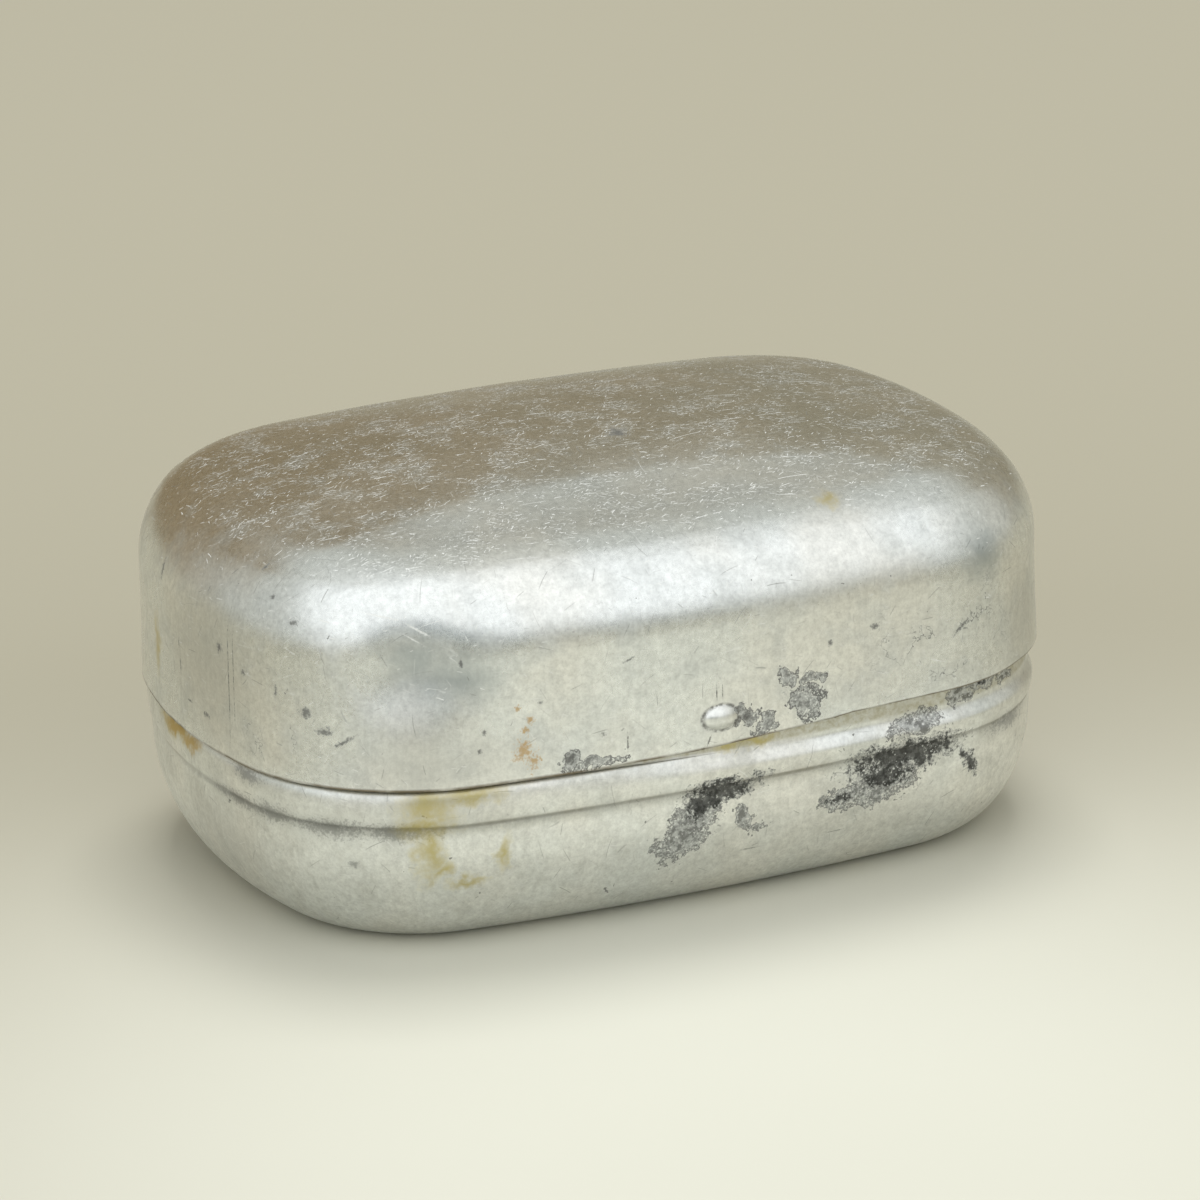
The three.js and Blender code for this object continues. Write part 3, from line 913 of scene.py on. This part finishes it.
baseFinish = {
    "cool": (0.79, 0.81, 0.8, 1), "warm": (0.83, 0.825, 0.79, 1),
    "dullColour": (0.58, 0.58, 0.54, 1), "dull": 0.5, "rough": 0.33, "roughSpread": 0.08,
    "lines": 0.14, "mottle": 0.58, "grain": 0.36, "grainDepth": 0.002, "waveDepth": 0.01,
    "wear": 0.4, "wearBright": 0.8, "pits": 0.13, "handling": 0.55,
    # painted darker reflection: ovals where the metal's colour is darkened to stand in for darker
    # surroundings that it reflects
    "paintedDullReflection": {"laid": layer(0.5, 0.505, 0.49, 0.34, 1.0, 0.45), "side": [(-33, -32, 17, 15, 4.5),
        (43, -25, 18.5, 9, 3.5)], "end": [(-48, -10, 10, 14, 6)]},
    "crease": {"wide": (0.06, 0.4, 1.0, 0.0), "broken": (0.2, 0.6, 0.3, 1.0),
               "cloudy": (0.35, 0.65, 0.15, 0.6), "laid": layer(0.2, 0.17, 0.11, 0.6, 0.5)},
    "smears": {"laid": layer(0.12, 0.12, 0.115, 0.5, 0.6, 0.6), "rag": 2.0, "side": [
        (-42.2, -25.7, 14.9, 6, 1.5), (-36, -30, 14.8, 5, 1.2), (38.5, -28.6, 14.6, 4.5, 1.4),
        (-40.2, -27.4, 10.9, 0.6, 0.6), (4.2, -33.3, 6.7, 1.6, 0.11), (14.7, -32.9, 6.7, 1.2, 0.09),
        (36, 30, 14.8, 5, 1.2), (-38, 28.5, 14.8, 5, 1.3)], "end": [(-48.3, -12.9, 15.2, 6.5, 1.2),
        (-46.4, -19, 15.2, 5.5, 1.4), (-47.6, -15.5, 18.6, 3.5, 1.1), (48.2, 10, 15.1, 6, 1.1)]},
    "collar": {"from": (18.9, 19.5), "above": (21.2, 23.2, 1.0, 0.3),
               "broken": (0.3, 0.7, 0.3, 0.85), "laid": layer(0.4, 0.37, 0.25, 0.5, 0.5)},
    "greyPatches": {"side": [(-3.6, -34, 11, 4.6, 2.3, 42), (-4.4, -34, 9.6, 3.6, 2.4, 30),
        (3.2, -34, 10.6, 2, 1, -50), (20.8, -33, 11.6, 5, 2.4, 10), (15.4, -34, 10.9, 2.8, 1.6, 12),
        (24.6, -33, 17.7, 3.8, 1.3, 4), (30.8, -32, 20, 1.8, 1.2), (34, -31, 20.2, 2.4, 1.1, 5),
        (38, -29, 19.8, 1.6, 0.9), (5, -34, 9.4, 0.9, 0.8), (10, 34, 10.2, 2.6, 1.4, 20)], "end": [
        (48, 4, 12.6, 2.8, 1.4)]},
    "darkPatches": {"side": [(0.8, -34, 14.9, 5.4, 1.5, 3), (-1.8, -34, 13.5, 3, 1.4, 45),
        (23.4, -33, 14.5, 8.4, 2.1, 2), (20.8, -33, 12.7, 4.8, 2.2, 8),
        (14.9, -34, 10.9, 1.7, 0.9, 10), (33.9, -31, 20.2, 1.3, 0.7, 5),
        (31.9, -32, 12, 0.9, 2.2, 20), (-16, 34, 13.2, 4.2, 1.5, -6),
        (-20.5, 33.5, 11, 2.2, 1.4, 30)]},
    "yellow": {"laid": layer(0.51, 0.435, 0.17, 0.36, 0.75, 0.88), "fade": (-0.4, 1.1), "side": [
        (-33.3, -32, 17.8, 3.4, 2.4), (-28.9, -33, 18.8, 5, 1.2, 4), (-33.3, -32, 15.3, 3.4, 1.6),
        (-33.2, -32, 12.6, 1.7, 4), (-32.2, -32, 10.2, 1.2, 1.8, -40), (-29.2, -32, 8.6, 2.4, 0.8),
        (-25.2, -33, 11.5, 0.9, 2), (1.3, -34, 19.6, 1.3, 1), (4.8, -34, 19.6, 2.4, 0.9),
        (26, 33, 17.6, 2.2, 1.8), (25, 33, 14, 1.4, 2.4)], "end": [(-49.3, 2.5, 18.5, 6.5, 1.4)]},
    "ochre": {"laid": layer(0.5, 0.34, 0.09, 0.36, 0.75, 0.85), "fade": (-0.3, 0.8), "end": [
        (-49.2, 2.4, 18.5, 4.8, 0.9), (-49.3, -2.6, 18.4, 2.6, 1.1)]},
}


def baseMetal(finish):
    material, tree, on, coat = wornMetal("agedBase", finish, ("paintedDullReflection",))
    coat = darkPits(tree, coat, on, finish, 0.0)
    crease, collar = finish["crease"], finish["collar"]
    away = awayFrom(tree, on["height"], base["crease"])
    mask = maskOf(tree, (away, crease["wide"]), (on["pits"], crease["broken"]), on["outer"],
                  (on["cloud"], crease["cloudy"]))
    coat = cover(tree, coat, mask, crease["laid"])
    coat = smudged(tree, coat, on, finish["smears"])
    mask = maskOf(tree, (on["height"], collar["from"]), on["outer"],
                  (on["pits"], collar["broken"]), (on["height"], collar["above"]))
    coat = cover(tree, coat, mask, collar["laid"])
    coat = corroded(tree, coat, on, finish["greyPatches"], greyRust)
    coat = corroded(tree, coat, on, finish["darkPatches"], darkRust)
    coat = stained(tree, coat, on, finish["yellow"])
    coat = stained(tree, coat, on, finish["ochre"])
    return finishMetal(material, tree, insideFilm(tree, coat, on), on, finish)


print("metals ready")

outlineLoop = [(x * mm, y * mm, 0) for x, y in outlinePoints(outline)]
outlineThing = lineObject("outline", outlineLoop, closed=True)
shellTree = buildShellTree()
baseThings = {"Outline": outlineThing, "Material": baseMetal(baseFinish), "Dent Seed": 0.31}
baseShell = pressShell("tin_base", baseSection(), shellTree, baseThings, {
    "Pip Height": pipHeight, "Pip Length": pip["length"] - innerPip["smaller"],
    "Pip Tall": pip["tall"] - innerPip["smaller"], "Pip Proud": innerPip["proud"],
    "Soft Bead": 1, "Rise From": base["softStart"], "Rise To": base["softFull"],
    "Dent Depth": 0.12, "Dent Size": 26, "Dent From": 2,
})
lidThings = {"Outline": outlineThing, "Material": lidMetal(lidFinish), "Dent Seed": 0.77}
lidShell = pressShell("tin_lid", lidSection(), shellTree, lidThings, {
    "Rim Rise": lid["rimRise"], "Rise From": lid["riseFrom"],
    "Rise To": lid["riseFrom"] + lid["riseOver"], "Ragged": lid["ragged"],
    "Pip Height": pipHeight, "Pip Length": pip["length"],
    "Pip Tall": pip["tall"], "Pip Proud": pip["proud"],
    "Dent Depth": 0.25, "Dent Size": 24, "Dent From": 20,
    "Knock At": (-34.5, -32, 34), "Knock Half": (11, 10, 10), "Knock Deep": 1.2,
    "Hollow At": (-9, -23.5, 45.5), "Hollow Half": (38, 7, 9), "Hollow Deep": 0.3,
})
bpy.data.objects.remove(outlineThing)
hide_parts("base")
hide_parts("lid")
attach(baseShell, "base")
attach(lidShell, "lid")


# Pale floor with a painted pool of light, darker further off, under soft studio light: bright
# overhead and in front, dimmer and warmer low behind

studio = {
    "floorSize": 3.0, "floorPaintedLit": (0.69, 0.685, 0.6, 1), "floorPaintedShade": (0.395, 0.372, 0.29, 1),
    "floorRough": 0.9, "paintedLightPool": (-0.024, -0.103, 0), "paintedLightPoolSpan": (0.025, 0.185),  # m, middle and fade of the painted pool of light
    "box": (-0.24, -0.7, 0.67), "boxSpan": (0.36, 0.8), "boxReach": 0.12,  # big soft box in front
    "boxLight": (1.18, 1.2, 1.185, 1), "room": (0.59, 0.6, 0.55, 1),
    "frontLeft": (0.2, 0.24, 0.25, 1), "frontRight": (0.37, 0.38, 0.352, 1),
    "frontAcross": (-0.3, 0.5), "frontUp": (0.03, 0.17, 1.0, 0.0), "frontTilt": 0.15,
    "frontPivot": 0.3, "frontDepth": (-0.3, 0.0, 1.0, 0.0), "frontStart": (-0.7, -0.3),
    "backLeft": (0.26, 0.197, 0.11, 1), "backRight": (0.29, 0.256, 0.177, 1),
    "backAcross": (0.18, 0.5), "backUp": (0.61, 0.66, 1.0, 0.0), "backSlant": 0.75,
    "backStart": (-0.1, 0.12), "backDepth": (0.1, 0.3),
    "lampAt": (0.15, 0.3, 1.05), "lampWide": 0.5, "lampPower": 6.0,  # m, m, W
}


def makeFloor(setup):
    half = setup["floorSize"] / 2
    corners = [(-half, -half, 0), (half, -half, 0), (half, half, 0), (-half, half, 0)]
    mesh = bpy.data.meshes.new("floor")
    mesh.from_pydata(corners, [], [(0, 1, 2, 3)])
    floor = addObject("floor", mesh)
    material = bpy.data.materials.new("floorPaintedPool")
    material.use_nodes = True
    tree = material.node_tree
    place = addNode(tree, "ShaderNodeTexCoord").outputs["Object"]
    # painted pool of light: the floor's colour fades from lit to shaded with distance from one
    # place
    away = vec(tree, "DISTANCE", place, setup["paintedLightPool"], out=1)
    paintedShade = ramp(tree, away, *setup["paintedLightPoolSpan"])
    colour = mixed(tree, paintedShade, setup["floorPaintedLit"], setup["floorPaintedShade"])
    shader = tree.nodes["Principled BSDF"]
    tree.links.new(colour, shader.inputs["Base Color"])
    shader.inputs["Roughness"].default_value = setup["floorRough"]
    mesh.materials.append(material)


def makeWorld(setup):
    world = bpy.data.worlds.new("studio")
    world.use_nodes = True
    tree = world.node_tree
    way = addNode(tree, "ShaderNodeTexCoord").outputs["Generated"]
    x, y, z = parts(tree, way)
    facing = vec(tree, "DOT_PRODUCT", way, setup["box"], out=1)
    facing = scaled(tree, times(tree, x, x), setup["boxReach"], facing)
    lit = ramp(tree, facing, *setup["boxSpan"])
    colour = mixed(tree, lit, setup["room"], setup["boxLight"])
    across = ramp(tree, x, *setup["frontAcross"])
    cool = mixed(tree, across, setup["frontLeft"], setup["frontRight"])
    aside = calc(tree, "SUBTRACT", x, setup["frontPivot"])
    rise = scaled(tree, aside, setup["frontTilt"], z)
    front = maskOf(tree, (rise, setup["frontUp"]), (y, setup["frontDepth"]),
                   (x, setup["frontStart"]))
    colour = mixed(tree, front, colour, cool)
    across = ramp(tree, x, *setup["backAcross"])
    warm = mixed(tree, across, setup["backLeft"], setup["backRight"])
    slant = scaled(tree, y, setup["backSlant"], x)
    behind = maskOf(tree, (slant, setup["backStart"]), (y, setup["backDepth"]),
                    (z, setup["backUp"]))
    colour = mixed(tree, behind, colour, warm)
    tree.links.new(colour, tree.nodes["Background"].inputs["Color"])
    scene.world = world


def makeLamp(setup):
    data = bpy.data.lights.new("softLamp", "AREA")
    data.size, data.energy = setup["lampWide"], setup["lampPower"]
    lamp = addObject("softLamp", data)
    lamp.location = setup["lampAt"]
    lamp.rotation_euler = Vector(setup["lampAt"]).to_track_quat("Z", "Y").to_euler()
    lamp.visible_glossy = False  # it only grounds the tin with a soft shadow


makeFloor(studio)
makeWorld(studio)
makeLamp(studio)
print("stage set")
